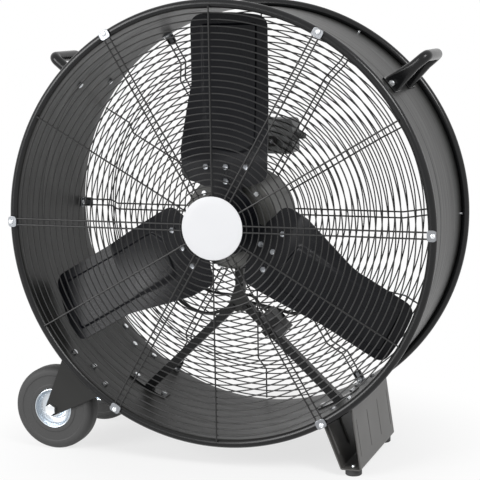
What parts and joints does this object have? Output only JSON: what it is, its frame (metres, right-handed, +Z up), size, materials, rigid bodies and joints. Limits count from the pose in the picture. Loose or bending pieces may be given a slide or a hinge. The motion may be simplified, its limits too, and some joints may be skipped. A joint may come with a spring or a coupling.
{
  "type": "drum fan",
  "caption": "Direct-drive drum fan in a rolled steel shell with wire guards on both mouths, sheet blades, tube handles, wheels on one side and a foot on the other",
  "frame": {"origin": "on the floor, straight under the drum's axis and at half its depth", "axes": "+X to the right seen from the front, -Y the way the air leaves, +Z up; the drum's axis lies along Y"},
  "size_m": [0.828, 0.3124, 0.848],
  "materials": {
    "shell_paint": "glossy black powder coat",
    "guard_paint": "black powder coat on wire",
    "cap_paint": "white enamel, bare",
    "zinc": "bright zinc plate",
    "rim_zinc": "zinc-plated pressed steel",
    "blade_paint": "satin dark grey paint",
    "motor_paint": "satin black paint",
    "steel": "ground steel",
    "rotor_metal": "cast aluminium on laminations",
    "bush_bronze": "plain bearing bronze",
    "winding": "varnished copper wire",
    "tyre": "solid black rubber",
    "rubber": "black rubber",
    "box_plastic": "grey moulded plastic",
    "capacitor_case": "black case",
    "knob_plastic": "black knob",
    "lead_jacket": "black jacket"
  },
  "bodies": {
    "drum": {"drum_shell": "shell_paint", "left_handle": "shell_paint", "right_handle": "shell_paint", "front_wheel_bracket": "shell_paint", "rear_wheel_bracket": "shell_paint", "foot_bracket": "shell_paint", "left_strut": "shell_paint", "right_strut": "shell_paint", "motor_post": "shell_paint", "control_bracket": "shell_paint", "gusset_bolts": "shell_paint", "capacitor_clamp": "shell_paint", "front_guard_wires": "guard_paint", "rear_guard_wires": "guard_paint", "front_guard_cap": "cap_paint", "front_clips": "zinc", "rear_clips": "zinc", "front_clip_screws": "zinc", "rear_clip_screws": "zinc", "shell_bolts": "zinc", "m6_nuts": "zinc", "foot_bracket_bolts": "zinc", "foot_screws": "zinc", "strut_bolts": "zinc", "motor_bolts": "zinc", "axle_bolts": "zinc", "axle_nuts": "zinc", "through_bolts": "zinc", "control_screws": "zinc", "motor_housing": "motor_paint", "front_end_bell": "motor_paint", "rear_end_bell": "motor_paint", "stator": "steel", "bearings": "steel", "windings": "winding", "rubber_feet": "rubber", "control_box": "box_plastic", "control_box_cover": "box_plastic", "rotary_switch": "box_plastic", "lead_clip": "box_plastic", "cable_glands": "box_plastic", "capacitor": "capacitor_case", "motor_lead": "lead_jacket", "capacitor_lead": "lead_jacket"},
    "rotor": {"motor_shaft": "steel", "rotor_core": "rotor_metal", "hub_spider": "blade_paint", "blade_1": "blade_paint", "blade_2": "blade_paint", "blade_3": "blade_paint", "blade_bolts": "zinc", "blade_nuts": "zinc"},
    "front_wheel": {"front_tyre": "tyre", "front_rim": "rim_zinc", "front_bush": "bush_bronze"},
    "rear_wheel": {"rear_tyre": "tyre", "rear_rim": "rim_zinc", "rear_bush": "bush_bronze"},
    "speed_knob": {"speed_knob": "knob_plastic"}
  },
  "joints": [
    {"name": "rotor_spin", "type": "hinge", "parent": "drum", "child": "rotor", "pos_m": [0, -0.07, 0.443], "axis": [0, -1, 0], "continuous": true},
    {"name": "front_wheel_spin", "type": "hinge", "parent": "drum", "child": "front_wheel", "pos_m": [-0.34297, -0.104, 0.08], "axis": [0, 1, 0], "continuous": true},
    {"name": "rear_wheel_spin", "type": "hinge", "parent": "drum", "child": "rear_wheel", "pos_m": [-0.34297, 0.104, 0.08], "axis": [0, 1, 0], "continuous": true},
    {"name": "speed_turn", "type": "hinge", "parent": "drum", "child": "speed_knob", "pos_m": [0.01, 0.14, 0.587], "axis": [0, -1, 0], "range_deg": [0, 90]}
  ]
}
